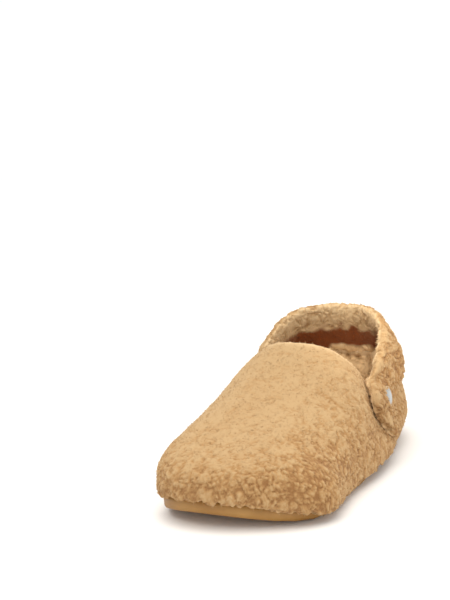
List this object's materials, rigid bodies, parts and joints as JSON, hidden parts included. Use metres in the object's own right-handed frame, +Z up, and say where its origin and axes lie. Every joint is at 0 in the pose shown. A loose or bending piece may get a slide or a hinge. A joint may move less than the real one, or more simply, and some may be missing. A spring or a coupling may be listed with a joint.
{
  "type": "clog slipper",
  "caption": "Left clog slipper in curly tan fleece with a riveted heel strap, footbed and cupped rubber outsole.",
  "frame": {"origin": "centre of the bounding box on the ground", "axes": "+Z up, -Y towards the toe, +X towards the outer side of the left foot"},
  "size_m": [0.1262, 0.264, 0.1075],
  "materials": {
    "upper_fleece": "curly pile, matte",
    "strap_fleece": "curly pile, matte",
    "footbed_fleece": "short pile, matte",
    "sole_rubber": "satin",
    "rivet_plastic": "satin",
    "disc_plastic": "glossy"
  },
  "bodies": {
    "root": {"upper": "upper_fleece", "outsole": "sole_rubber", "insole": "footbed_fleece", "strap": "strap_fleece", "rivet_lateral": "rivet_plastic", "rivet_medial": "rivet_plastic", "disc_lateral": "disc_plastic", "disc_medial": "disc_plastic"}
  },
  "joints": []
}
